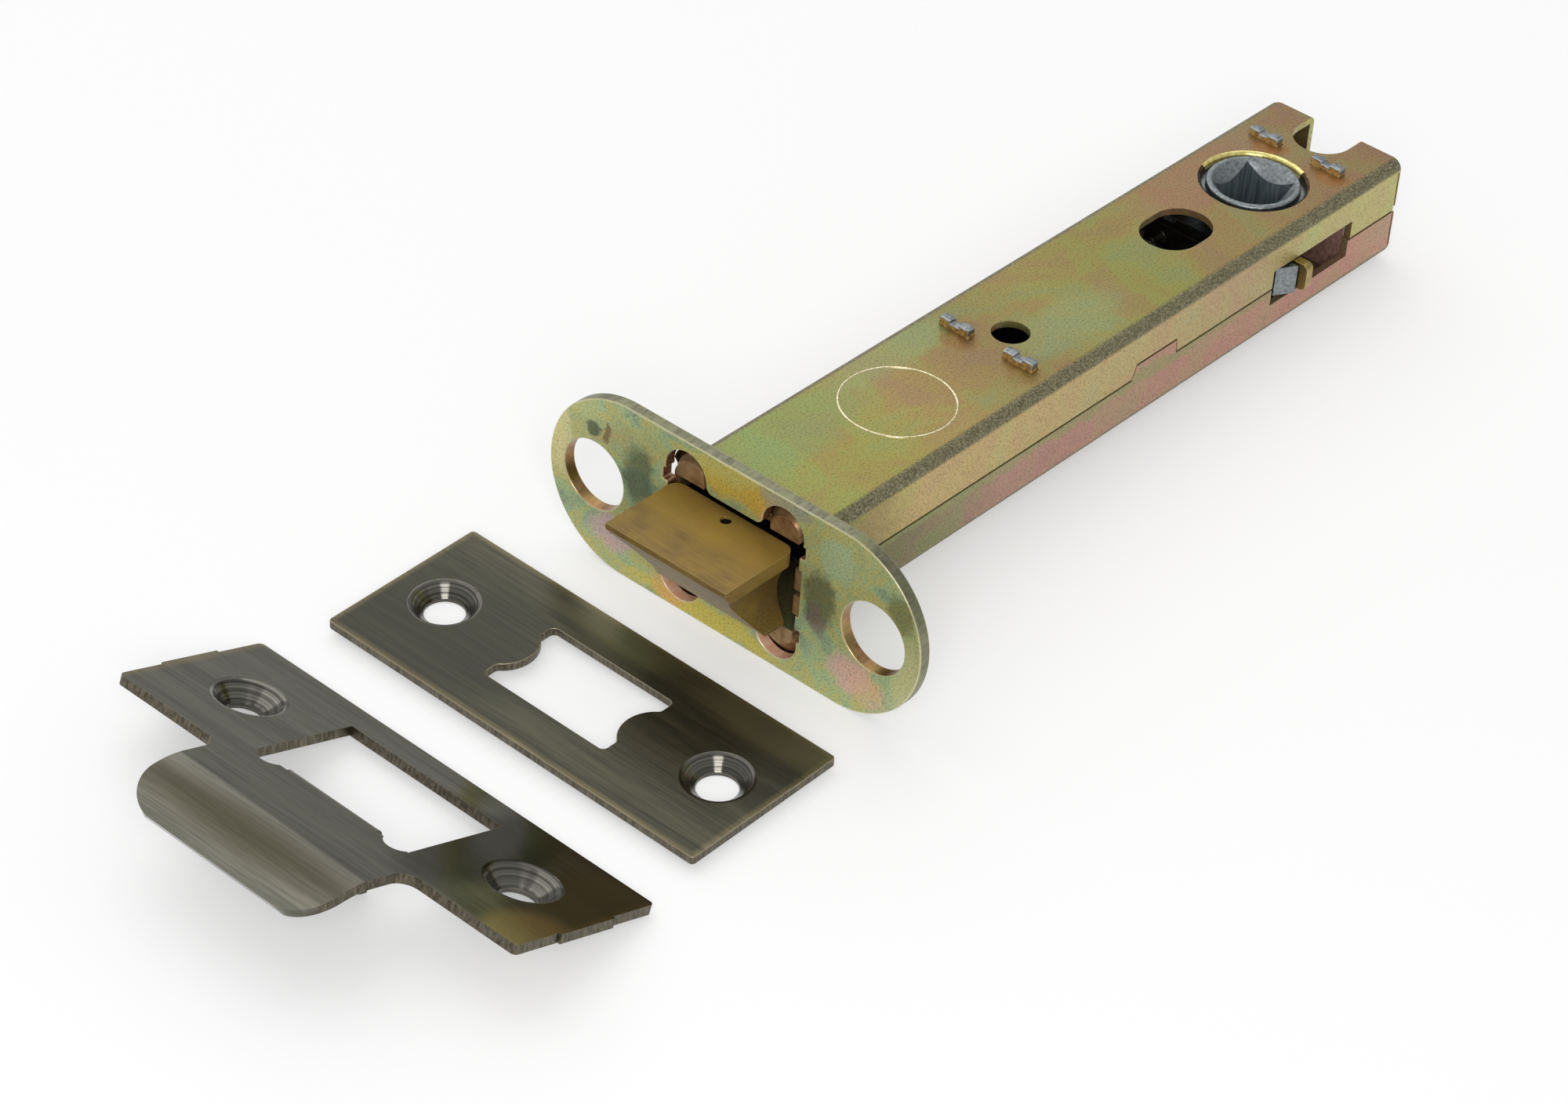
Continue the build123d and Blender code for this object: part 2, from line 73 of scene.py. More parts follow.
body_of = {node: body for body, nodes in behaviour["bodies"].items() for node in nodes}
joints = {joint["name"]: joint for joint in behaviour["joints"]}
mounts = {mount["name"]: mount for mount in frame["record"]["mounts"]}
print("CAD box in mm:", [[round(v / mm, 1) for v in corner] for corner in cad_box])

# %% [markdown]
# The latch is seen through a long lens from the front left, well above the table. A camera can be set by
# eye, but then no edge falls quite where it should. Here about sixty points of the real pieces fixed it:
# the point it looks at, the direction back to it, its roll and its focal length. A camera looks along its
# own minus Z, so its axes are built from those and put into its matrix as columns.

# %% Camera
bpy.context.scene.view_settings.view_transform = "Standard"
camera_data = bpy.data.cameras.new("camera")
camera_data.sensor_width = 36.0
camera_data.lens = 105.23
camera = bpy.data.objects.new("camera", camera_data)
bpy.context.collection.objects.link(camera)
bpy.context.scene.camera = camera

looked_at = Vector((47.171, 29.365, -40.761)) * mm
back = Vector((-0.62096, -0.49903, 0.60447)).normalized()
camera_distance = 641.439 * mm
roll = math.radians(4.36)
level = (-back).cross(Vector((0, 0, 1))).normalized()
upright = level.cross(-back)
camera_x = level * math.cos(roll) + upright * math.sin(roll)
camera_y = upright * math.cos(roll) - level * math.sin(roll)
camera.matrix_world = (
    Matrix.Translation(looked_at + back * camera_distance)
    @ Matrix((camera_x, camera_y, back)).transposed().to_4x4()
)
print("camera at", [round(v, 3) for v in camera.matrix_world.translation])

# %% [markdown]
# A colour is written as the hex code that a screen shows, and a shader wants linear light, so one function
# turns one into the other. Shader nodes could be placed and linked line by line, which soon fills pages, so
# another function adds a node in one line: its settings, what goes into each input (a number, a colour, or
# another node's output) and, for a colour ramp, its stops.

# %% Colours and nodes
def linear(code):
    """The linear RGBA of an sRGB hex code such as #8c9860."""
    parts = [int(code[i : i + 2], 16) / 255 for i in (1, 3, 5)]
    return [p / 12.92 if p <= 0.04045 else ((p + 0.055) / 1.055) ** 2.4 for p in parts] + [1.0]


def add(tree, kind, inputs=None, out=0, stops=(), **settings):
    """Adds a shader node and returns its output called out. A hex code counts as a colour."""
    node = tree.nodes.new("ShaderNode" + kind)
    for name, value in settings.items():
        setattr(node, name, value)
    for name, value in (inputs or {}).items():
        if isinstance(value, bpy.types.NodeSocket):
            tree.links.new(value, node.inputs[name])
        else:
            node.inputs[name].default_value = linear(value) if isinstance(value, str) else value
    if stops:
        places = node.color_ramp.elements
        for place, code in stops[1:-1]:
            places.new(place).color = linear(code)
        for index in (0, -1):
            places[index].position = stops[index][0]
            places[index].color = linear(stops[index][1])
    return node.outputs[out] if len(node.outputs) else node


def blank_material(name):
    """A new material and its empty node tree."""
    material = bpy.data.materials.new(name)
    material.use_nodes = True
    material.node_tree.nodes.clear()
    return material, material.node_tree


print("a middle grey of #808080 is", round(linear("#808080")[0], 3), "in linear light")

# %% [markdown]
# The table is a sheet of white paper. In the frame the latch is level and the table leans a little, because
# the real latch rests on its forend and on the staked nibs at its rear. The face plate lies flat on the
# paper, so the axis of its screws is square to the table and gives the lean. More light would make the
# paper white, but would bleach the latch too. So a diffuse white catches the soft shadows, and part of what
# the camera and shiny metal see of it is plain white of strength 1.

# %% Table
table_up = mounts["face_screw_far"]["axis"]
table_slope = -table_up[0] / table_up[2]
forend_foot = Vector((1.8, 0, -13.1)) * mm
table_half_size = 3.0
glow_share = 0.4


def new_object(name, bm, materials=()):
    """A mesh object of a bmesh, at the origin."""
    mesh = bpy.data.meshes.new(name)
    bm.to_mesh(mesh)
    bm.free()
    made = bpy.data.objects.new(name, mesh)
    bpy.context.collection.objects.link(made)
    for material in materials:
        mesh.materials.append(material)
    return made


# White paper, uncoated: an even white with soft grey shadows and no gloss.
paper, tree = blank_material("white_paper_sheet")
matt = add(tree, "BsdfDiffuse", {"Color": "#fbfbfb"})
glow = add(tree, "Emission", {"Color": "#ffffff", "Strength": 1.0})
seen = add(tree, "LightPath", out="Is Camera Ray")
mirrored = add(tree, "LightPath", out="Is Glossy Ray")
through = add(tree, "LightPath", out="Is Transmission Ray")
plain = add(tree, "Math", {0: add(tree, "Math", {0: seen, 1: mirrored}), 1: through}, use_clamp=True)
share = add(tree, "Math", {0: plain, 1: glow_share}, operation="MULTIPLY")
add(tree, "OutputMaterial", {"Surface": add(tree, "MixShader", {0: share, 1: matt, 2: glow})})

bm = bmesh.new()
bmesh.ops.create_grid(bm, x_segments=1, y_segments=1, size=table_half_size)
lean = Euler((0, -math.atan(table_slope), 0)).to_matrix()
bmesh.ops.rotate(bm, verts=bm.verts, cent=(0, 0, 0), matrix=lean)
table_height = forend_foot.z - table_slope * forend_foot.x
bmesh.ops.translate(bm, verts=bm.verts, vec=(0, 0, table_height))
table = new_object("table", bm, [paper])
print("table leans", round(math.degrees(math.atan(table_slope)), 2), "degrees")

# %% [markdown]
# The latch lies in an even pale room with two soft lamps: a large one above its far side, and a smaller one
# over the camera's shoulder, which puts the bright wedges into the countersinks. A panorama of a studio
# could light it too, but two square lamps are easier to follow and to move. Together they light the table
# at a level of about one, so that a colour renders about as it is written.

# %% Room and lamps
room_light = 0.52
world = bpy.data.worlds.new("pale_room")
bpy.context.scene.world = world
world.use_nodes = True
tree = world.node_tree
tree.nodes.clear()
# Where the camera sees past the table, the room shows as plain white.
past_table = add(tree, "LightPath", out="Is Camera Ray")
strength = add(tree, "Math", {0: past_table, 1: 1 - room_light, 2: room_light}, operation="MULTIPLY_ADD")
room = add(tree, "Background", {"Color": "#ffffff", "Strength": strength})
add(tree, "OutputWorld", {"Surface": room})


def softbox(name, place, size, power):
    """A square lamp of that size in metres, facing the latch."""
    lamp = bpy.data.lights.new(name, "AREA")
    lamp.size = size
    lamp.energy = power
    holder = bpy.data.objects.new(name, lamp)
    bpy.context.collection.objects.link(holder)
    aim = Vector(place) - looked_at
    holder.matrix_world = Matrix.Translation(place) @ aim.to_track_quat("Z", "Y").to_matrix().to_4x4()


softbox("overhead_softbox", (0.25, 0.55, 0.75), 1.2, 4.2)
softbox("shoulder_softbox", (-0.65, -0.55, 0.60), 0.45, 5.0)

# %% [markdown]
# A CAD solid has mathematically sharp edges, and no real piece has. A Bevel modifier could round them, but
# it can't tell a material where the rounds are. So each visible node is copied into a bmesh: its loose
# triangles are merged, flat ones are joined, and the sharp edges get a small round that catches light. Each
# face gets its finish by a rule, and the rounds are marked in an attribute, so that a material can rub them
# bare. The copy takes the node's place in the picture.

# %% Dress a CAD node
weld_mm = 0.002
flat_degrees = 0.4
crease_degrees = 35


def dress(node, finishes, pick=None, round_mm=0.1, sharp_degrees=30, reshape=None):
    """A softened copy of a CAD node. pick(face) gives the index of its finish, reshape(bm) comes last."""
    bm = bmesh.new()
    bm.from_mesh(frame["nodes"][node].data)
    bmesh.ops.remove_doubles(bm, verts=bm.verts, dist=weld_mm * mm)
    bmesh.ops.dissolve_limit(bm, angle_limit=math.radians(flat_degrees), verts=bm.verts, edges=bm.edges)
    if pick:
        for face in bm.faces:
            face.material_index = pick(face)
    worn = bm.faces.layers.float.new("worn")
    edges = [
        e for e in bm.edges
        if len(e.link_faces) == 2 and e.calc_face_angle() > math.radians(sharp_degrees)
    ]
    made = bmesh.ops.bevel(
        bm, geom=edges, offset=round_mm * mm, offset_type="OFFSET", affect="EDGES",
        segments=2, profile=0.5, material=-1, clamp_overlap=True,
    )
    for face in made["faces"]:
        face[worn] = 1.0
    if reshape:
        reshape(bm)
    for face in bm.faces:
        face.smooth = True
    piece = new_object(node + "_finished", bm, finishes)
    piece.data.set_sharp_from_angle(angle=math.radians(crease_degrees))
    weighted = piece.modifiers.new("flat faces stay flat", "WEIGHTED_NORMAL")
    weighted.keep_sharp = True
    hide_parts(node)
    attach(piece, body_of[node])
    print(node, "dressed,", len(piece.data.polygons), "faces,", len(edges), "edges rounded")
    return piece


print("CAD nodes to dress:", len(frame["nodes"]))

# %% [markdown]
# Real finishes are stained where a film pooled, and rubbed bare on their edges. Both could be painted on a
# picture, but a picture needs an unwrapped surface and has one fixed sharpness. So a stain is a soft ball
# of colour in space, which tints whatever surface passes through it, and wear follows the attribute that
# marks the rounds. A third helper ends each finish in the same way: a Principled shader over a fine bump.

# %% Stains, wear and shader
stain_fade = (0.05, 0.5)  # shares of the way in to its centre where a stain starts, and where it is full


def stain(tree, place, base, centre, size, code, share, drift=0.0):
    """Lays a soft patch of colour code over base. centre, size and the drift of place are in mm."""
    middle = [(v + drift / 2) * mm for v in centre]
    local = add(tree, "Mapping", {
        "Vector": place, "Location": middle, "Scale": [v * mm for v in size],
    }, vector_type="TEXTURE")
    ball = add(tree, "TexGradient", {"Vector": local}, "Fac", gradient_type="SPHERICAL")
    soft = add(tree, "MapRange", {
        0: ball, 1: stain_fade[0], 2: stain_fade[1], 3: 0.0, 4: share,
    }, interpolation_type="SMOOTHSTEP")
    return add(tree, "Mix", {0: soft, 6: base, 7: code}, 2, data_type="RGBA")


def rub(tree, base, code, share):
    """Shows that share of the colour code on the rounded edges."""
    worn = add(tree, "Attribute", attribute_name="worn", out="Fac")
    rubbed = add(tree, "Math", {0: worn, 1: share}, operation="MULTIPLY")
    return add(tree, "Mix", {0: rubbed, 6: base, 7: code}, 2, data_type="RGBA")


def close(tree, look, height, relief, depth_mm=0.03):
    """Ends a material: look fills the sockets of its Principled shader, height is its bump."""
    bump = add(tree, "Bump", {"Height": height, "Strength": relief, "Distance": depth_mm * mm})
    shader = add(tree, "BsdfPrincipled", {**look, "Normal": bump})
    add(tree, "OutputMaterial", {"Surface": shader})


print("a stain is full within", 1 - stain_fade[1], "of its radius")

# %% [markdown]
# Yellow zinc passivation is a thin chromate film on zinc plate, the usual cheap rust protection of lock
# cases. The film's thickness wanders, so the metal shows clouds of green, gold and pink. A thin film on the
# shader gives rainbows too, but they turn with the view and can't be steered. So the clouds are built from
# ramps and noise: one ramp along the case for the slow change of the flat top, another for the side walls,
# whose normal points sideways, and broad noise over both. The walls' ramp is paler: partly their film, and
# partly a painted reflection of the bright table that they face.

# %% Clouds of the film
case_length = cad_box[1][0]


def clouded(tree, wandering, normal, flats, walls, clouds, cloud_mm, cloud_share):
    """The film's colour. flats and walls are stops along the case, clouds are stops of broad noise."""
    along = add(tree, "SeparateXYZ", {0: wandering})
    way = add(tree, "MapRange", {0: along, 1: 0.0, 2: case_length}, 0)
    side = add(tree, "Math", {0: normal.outputs["Y"]}, operation="ABSOLUTE")
    wall_share = add(tree, "MapRange", {0: side, 1: 0.75, 2: 0.95}, interpolation_type="SMOOTHSTEP")
    flat_film = add(tree, "ValToRGB", {0: way}, stops=flats)
    # The walls' ramp is paler than the top's: partly their film, partly a painted reflection of the table.
    wall_film_and_reflection = add(tree, "ValToRGB", {0: way}, stops=walls)
    colour = add(tree, "Mix", {0: wall_share, 6: flat_film, 7: wall_film_and_reflection}, 2, data_type="RGBA")
    cloud = add(tree, "TexNoise", {
        "Vector": wandering, "Scale": 1 / (cloud_mm * mm), "Detail": 4.0, "Roughness": 0.6,
        "Distortion": 0.8,
    })
    cloud_film = add(tree, "ValToRGB", {0: cloud}, stops=clouds)
    return add(tree, "Mix", {0: cloud_share, 6: colour, 7: cloud_film}, 2, data_type="RGBA")


print("the ramps run over", round(case_length / mm, 1), "mm")

# %% [markdown]
# Below the film lies rolled sheet with a fine grain, and where it was bent, its skin is coarse; the bends are
# also darkened with painted shade, for the dark that they mirror.
# The bends could get a finish of their own, but their borders would be hard lines, while the product of two
# parts of the normal grows and fades over a bend by itself. The film is rubbed off here and there along the
# edges.

# %% Passivated sheet
drift_mm = 5.0  # how far the edges of clouds and stains wander
waver_mm = 4.0  # the size of those wanderings


def passivated(name, flats, walls, clouds, cloud_mm, cloud_share, stains, rough=0.40, metallic=0.6):
    """Yellow passivated sheet: clouds, then stains, grain, bends darkened by coarse skin and painted shade,
    and worn edges.
    """
    material, tree = blank_material(name)
    place = add(tree, "TexCoord", out="Object")
    normal = add(tree, "SeparateXYZ", {0: add(tree, "TexCoord", out="Normal")}).node
    waver = add(tree, "TexNoise", {
        "Vector": place, "Scale": 1 / (waver_mm * mm), "Detail": 6.0, "Roughness": 0.7,
    }, "Color")
    reach = (drift_mm * mm,) * 3
    wandering = add(tree, "VectorMath", {0: waver, 1: reach, 2: place}, operation="MULTIPLY_ADD")
    colour = clouded(tree, wandering, normal, flats, walls, clouds, cloud_mm, cloud_share)
    for centre, size, code, share in stains:
        colour = stain(tree, wandering, colour, centre, size, code, share, drift_mm)
    # Real grain is near 0.05 mm, drawn at 0.3 mm so that it shows.
    grain = add(tree, "TexNoise", {"Vector": place, "Scale": 1 / (0.3 * mm), "Detail": 3.0, "Roughness": 0.7})
    speck = add(tree, "ValToRGB", {0: grain}, stops=((0.30, "#a8a8a8"), (0.50, "#f4f4f4"), (0.75, "#ffffff")))
    colour = add(tree, "Mix", {0: 1.0, 6: colour, 7: speck}, 2, data_type="RGBA", blend_type="MULTIPLY")
    # The product of the two normal parts is largest half way round a bend along the case. There the coarse
    # skin is darkened further with painted shade.
    slope = add(tree, "Math", {0: normal.outputs["Y"], 1: normal.outputs["Z"]}, operation="MULTIPLY")
    steep = add(tree, "Math", {0: slope}, operation="ABSOLUTE")
    bend = add(tree, "MapRange", {0: steep, 1: 0.04, 2: 0.34}, interpolation_type="SMOOTHSTEP")
    bend_skin_and_shade = add(tree, "ValToRGB", {0: grain}, stops=((0.30, "#4a4634"), (0.50, "#7a7356"), (0.72, "#a8a183")))
    colour = add(tree, "Mix", {0: bend, 6: colour, 7: bend_skin_and_shade}, 2, data_type="RGBA")
    bare = add(tree, "MapRange", {0: waver, 1: 0.38, 2: 0.6, 3: 0.05, 4: 0.75})
    colour = rub(tree, colour, "#e4dcb0", bare)
    duller = add(tree, "MapRange", {0: bend, 3: rough, 4: 0.55})
    # The film is not all metal: a share of plain diffuse keeps it lit where it mirrors something dark.
    close(tree, {"Base Color": colour, "Metallic": metallic, "Roughness": duller}, grain, 0.25)
    return material


print("clouds wander by", drift_mm / 2, "mm to each side")

# %% [markdown]
# The two halves of the case have different films. The upper one is green at the forend and turns to gold,
# then pink brown round the hub, with pale green pools and brown stains that bled out of the slots of the
# staked nibs. The lower one is pinker, with a green band under the side seam. Chance would not put these
# where they belong, so each is listed one by one, at places in mm on the case.

# %% Films of the case halves
case_top_mm = 7.8
nib_stains = tuple(
    ((x, y, case_top_mm), (3, 3.5, 2), code, share)
    for x, code, share in ((48.3, "#8c6428", 0.5), (116.6, "#a86c30", 0.6))
    for y in (3.6, -7.2)
)

# Steel sheet, rolled, folded, zinc plated and yellow passivated: satin, with clouds of green, gold and
# brown that have no edges, a fine grain, and coarse bends darkened with painted shade.
upper_film = passivated(
    "yellow_passivated_upper_case",
    ((0.02, "#979c55"), (0.16, "#9a9944"), (0.28, "#a99356"), (0.42, "#8a764a"), (0.52, "#9c8f4f"),
     (0.62, "#918f45"), (0.74, "#9c8650"), (0.90, "#98785a")),
    # Walls: partly their film, partly a painted reflection of the table, so paler than the top.
    ((0.05, "#6c7048"), (0.13, "#a8a058"), (0.20, "#dcc484"), (0.45, "#d8bc88"), (0.75, "#ccb28a"),
     (0.88, "#d4d088")),
    ((0.34, "#8a9e6a"), (0.44, "#9e9e52"), (0.54, "#a68852"), (0.66, "#9c7860")),
    11.0, 0.42,
    (
        ((12, 6, case_top_mm), (26, 8, 4), "#84a064", 0.45),  # green behind the forend
        ((40, 8, case_top_mm), (16, 5, 4), "#97a972", 0.45),  # paler along the far edge
        ((62, -4, case_top_mm), (14, 6, 4), "#97a878", 0.35),  # and in a pool behind the front nibs
        ((104, 6, case_top_mm), (20, 8, 6), "#a87c62", 0.5),  # pink brown round the hub
    ) + nib_stains,
)
# The same sheet and bath, seen on the side wall: pink brown, dark near the forend, with a dull green band.
lower_film = passivated(
    "yellow_passivated_lower_case",
    ((0.02, "#8d9561"), (0.3, "#9f8f68"), (0.6, "#a08a70"), (0.95, "#a48b69")),
    # Walls: partly their film, partly a painted reflection of the table, so paler than the top.
    ((0.04, "#8fa070"), (0.11, "#4c4a30"), (0.16, "#56703a"), (0.24, "#8a8660"), (0.34, "#bc9084"),
     (0.60, "#c49480"), (0.92, "#d09886")),
    ((0.34, "#7e9a5e"), (0.46, "#9c9a62"), (0.56, "#b0866c"), (0.68, "#a87a70")),
    9.0, 0.35,
    (((60, -11.45, -0.6), (70, 3, 1.6), "#979e62", 0.6),),
)
print("passivated finishes:", upper_film.name, lower_film.name)

# %% [markdown]
# The forend was blanked from thicker sheet and plated with the case. Its film pooled in many small clouds,
# with grey green spots, gold beside the upper lobes and pink below. Noise alone gives an even mottle, so
# the larger clouds are stains set one by one on its front face, and noise breaks up their borders.

# %% Forend film
mid_film = ((0.0, "#96a070"), (1.0, "#96a070"))

# Steel sheet, blanked, zinc plated and yellow passivated: a lively mottle of pale green, gold and pink,
# less metallic than the case.
forend_film = passivated(
    "yellow_passivated_forend",
    mid_film,
    mid_film,
    ((0.32, "#7f9370"), (0.40, "#a2b690"), (0.47, "#b4c890"), (0.54, "#ccc274"), (0.61, "#b0c088"),
     (0.70, "#c4b474")),
    7.0, 0.9,
    (
        ((0, 0, 11.0), (4, 12, 3.5), "#d8cc70", 0.85),  # yellow above the opening
        ((0, 2.5, 9.5), (4, 4.0, 2.2), "#dcc050", 0.7),
        ((0, -4.5, 10.0), (4, 6.0, 2.6), "#dcb040", 0.65),  # gold beside the near lobe
        ((0, -8.5, 12.0), (4, 6, 2.0), "#a8a49a", 0.6),
        ((0, 29.5, 4), (4, 2.5, 9), "#e4d89c", 0.8),  # pale far end
        ((0, 25.5, 10.2), (4, 5, 2.5), "#c4cc8c", 0.6),
        ((0, 24.0, 7.2), (4, 1.5, 1.3), "#4f5b3c", 0.85),  # dark spot above the far hole
        ((0, 21.6, 7.6), (4, 1.0, 1.8), "#7a6434", 0.8),
        ((0, 15.5, 4), (4, 3.5, 6), "#5c664a", 0.75),  # dark green beside the far hole
        ((0, 13.5, -2.5), (4, 3.0, 4), "#a88a4a", 0.6),
        ((0, 20, -7.5), (4, 5, 3.5), "#d8b4b4", 0.75),  # pink below the far hole
        ((0, 4, -11.6), (4, 16, 2.6), "#dcc850", 0.8),  # yellow below the opening
        ((0, 10, -11.0), (4, 4, 2.4), "#e8b468", 0.8),
        ((0, -14.5, 1), (4, 3.5, 6), "#585a3c", 0.75),  # dark olive beside the near hole
        ((0, -14.5, -2.5), (4, 2.0, 3), "#846c68", 0.6),
        ((0, -17, 8), (4, 4, 4), "#b4c89c", 0.7),
        ((0, -20, -7.5), (4, 4.5, 4), "#ecb8b0", 0.7),  # pink below the near hole
        ((0, -23.5, -8.4), (4, 4.5, 3.2), "#ecb898", 0.5),
        ((0, -29, -4), (4, 3.0, 8), "#d8d49c", 0.6),  # pale near end
        ((0, -27.5, 6), (4, 3.0, 4), "#74703c", 0.65),
    ),
    rough=0.42, metallic=0.4,
)
print("forend finish:", forend_film.name)

# %% [markdown]
# The other surfaces are plainer. Sheared rims, walls of holes, castings, wire and ground brass all show two
# close tones of one metal in a fine grain, drawn out the way the tool went. Each could have a node tree of
# its own, but they differ only in numbers, so one function makes them all, and the forend's rim is its first.
# Their real grain is between 0.02 and 0.1 mm, too fine to show here, so all of it is drawn several times
# coarser, at the size in mm that each call gives after its two tones.

# %% Plain metals
def metal(name, dark, light, grain_mm, rough, relief, stretch=(1, 1, 1), edge="#d0d0d0", edge_share=0.4,
          tint=None, metallic=1.0, stains=()):
    """A metal of two tones. stretch draws out its grain, tint is another colour, its size in mm and share."""
    material, tree = blank_material(name)
    place = add(tree, "TexCoord", out="Object")
    drawn = add(tree, "Mapping", {"Vector": place, "Scale": stretch})
    grain = add(tree, "TexNoise", {"Vector": drawn, "Scale": 1 / (grain_mm * mm), "Detail": 3.0})
    colour = add(tree, "ValToRGB", {0: grain}, stops=((0.32, dark), (0.68, light)))
    if tint:
        tint_code, tint_mm, tint_share = tint
        broad = add(tree, "TexNoise", {"Vector": place, "Scale": 1 / (tint_mm * mm), "Detail": 2.0})
        spread = add(tree, "MapRange", {0: broad, 1: 0.42, 2: 0.62, 3: 0.0, 4: tint_share})
        colour = add(tree, "Mix", {0: spread, 6: colour, 7: tint_code}, 2, data_type="RGBA")
    for centre, size, code, share in stains:
        colour = stain(tree, place, colour, centre, size, code, share)
    colour = rub(tree, colour, edge, edge_share)
    close(tree, {"Base Color": colour, "Metallic": metallic, "Roughness": rough}, grain, relief)
    return material


# Zinc plated steel, sheared: a dull, streaky grey olive with pale edges.
blanked_rim = metal(
    "sheared_zinc_plate_rim", "#6a6a58", "#8e8c74", 0.5, 0.42, 0.4, (0.3, 1, 1), "#e0d8b4", 0.45,
    ("#8a9068", 6.0, 0.6),
)
print("first plain metal:", blanked_rim.name)

# %% [markdown]
# The walls of the holes, the ears and the crevices came out of the same bath as the flats, but their film
# looks different: thicker in the holes and rubbed on the ears. The crevices and the lobed opening are
# darkened with painted shade, and the floors of the lower lobes and the far part of the hub's rim get painted
# light.
# The clouded film could be tinted for each by a mask. As none of them is large enough to show clouds, each
# is a plain metal in its own colours.

# %% Walls, ears and crevices
through_sheet = (0.4, 1, 1)  # the grain of a punched wall is drawn out along X

# Zinc plated steel, punched and passivated: the thicker film in the screw holes is a warm copper colour.
coppery_wall = metal(
    "passivated_hole_wall", "#8c6a48", "#b08860", 0.6, 0.34, 0.3, through_sheet, "#d8b48c", 0.5,
    ("#8f8a50", 4.0, 0.5),
)
# Painted shade: the same film in the lobed opening, darkened to a dark reddish brown where less light falls.
opening_wall_shade = metal(
    "passivated_opening_wall_painted_shade", "#5c4028", "#8a6444", 0.6, 0.34, 0.3, through_sheet, "#d8a880", 0.6,
    metallic=0.4,
)
# Painted light: the same film on the floors of the lower lobes, which face the light, made into bright copper
# crescents.
lobe_floor_lit = metal(
    "passivated_lobe_floor_painted_light", "#f0b48c", "#ffe0c4", 0.6, 0.3, 0.2, through_sheet, "#ffe4cc", 0.7,
    metallic=0.3,
)
# Zinc plated steel, folded, its film rubbed by the forend: tan brown with pale edges.
ear_film = metal(
    "rubbed_passivated_ear", "#806040", "#a88a60", 1.2, 0.36, 0.3, edge="#ecd0a8", edge_share=0.8,
    metallic=0.6,
)
# Painted shade: the film in the crevices behind the forend, round the near part of the hub's rim and along
# the seam, darkened to a brown that is nearly black.
crevice_shade_film = metal("crevice_painted_shade_film", "#3a2c1c", "#5c4830", 1.0, 0.45, 0.3)
# Painted highlight: zinc plated steel made pale on the far part of the rim of the hub's hole, a bright yellow
# crescent in place of the highlight there.
rim_painted_highlight = metal(
    "zinc_plate_rim_painted_highlight", "#d8c870", "#fcf0a8", 0.6, 0.28, 0.2, edge="#fff4b0", edge_share=0.6,
    metallic=0.8,
)
films = (coppery_wall, opening_wall_shade, lobe_floor_lit, ear_film, crevice_shade_film, rim_painted_highlight)
print("finishes of walls, ears and crevices:", [m.name for m in films])

# %% [markdown]
# Each face of the case and the forend needs one of these finishes. They could be picked by hand, face by
# face, and picked again whenever the CAD model changes. Short rules don't mind a change: a face is a front,
# a rim, a wall of a hole or a floor by its direction and its place.

# %% Rules for the case and the forend
forend_back = 1.82 * mm
swollen_y, swollen_z, swollen_to = 11.5 * mm, 7.85 * mm, 5 * mm
hub_middle = Vector(joints["hub_turn"]["pos_m"]).xy
hub_rim = (7.1 * mm, 8.0 * mm)
hub_rim_from = 6 * mm
highlight_side, highlight_from = Vector((0.78, 0.62)), 3 * mm
forend_screws = mounts["forend_screws"]["dims"]
screw_y = forend_screws["spacing_x_mm"] / 2 * mm
screw_reach = (forend_screws["hole_r_mm"] + 0.25) * mm
forend_inside = 12 * mm
lobe_floor_z = -8 * mm


def case_finish(face):
    """Index of a case half's finish: film, ear, crevice in painted shade, painted highlight on the hub's rim.
    """
    spot = face.calc_center_median()
    if spot.x < forend_back:
        return 1
    # Corners behind the forend's lobes get the crevice's painted shade.
    if spot.x < swollen_to and (abs(spot.y) > swollen_y or abs(spot.z) > swollen_z):
        return 2
    from_hub = spot.xy - hub_middle
    if hub_rim[0] < from_hub.length < hub_rim[1] and spot.z > hub_rim_from and face.normal.z < 0.98:
        # Round the hub's hole: painted highlight on the far part, painted shade on the near part.
        return 3 if from_hub.dot(highlight_side) > highlight_from else 2
    return 0


def forend_finish(face):
    """Index of the forend's finish: film, rim, hole wall, opening wall in painted shade, floor of a lower
    lobe in painted light.
    """
    if abs(face.normal.x) > 0.7:
        return 0
    spot = face.calc_center_median()
    if min(math.hypot(spot.y - y, spot.z) for y in (screw_y, -screw_y)) < screw_reach:
        return 2
    if abs(spot.y) > forend_inside or abs(spot.z) > forend_inside:
        return 1
    # Floors of the lower lobes get painted light, the rest of the opening painted shade.
    return 4 if spot.z < lobe_floor_z and face.normal.z > 0.3 else 3


print("forend's screw holes at y =", round(screw_y / mm, 2), "and", round(-screw_y / mm, 2), "mm")

# %% [markdown]
# The press left marks on the case that its solids only hint at: the corners behind the forend's lobes swell
# out, and the two halves meet in a narrow dark seam. Both could be sculpted, but each is a simple rule on
# points: the corners spread from the middle of their lobe, and the rounds along the seam are widened into
# the halves of a groove, with the finish of a crevice.

# %% Press marks
lobe_y, lobe_z = 7.9 * mm, 7.35 * mm
window_x = (102 * mm, 117 * mm)
seam_z = (-1 * mm, 2.3 * mm)
wall_round, wall_outside = 11.2 * mm, 11.44 * mm
seam_half_width = 0.13 * mm


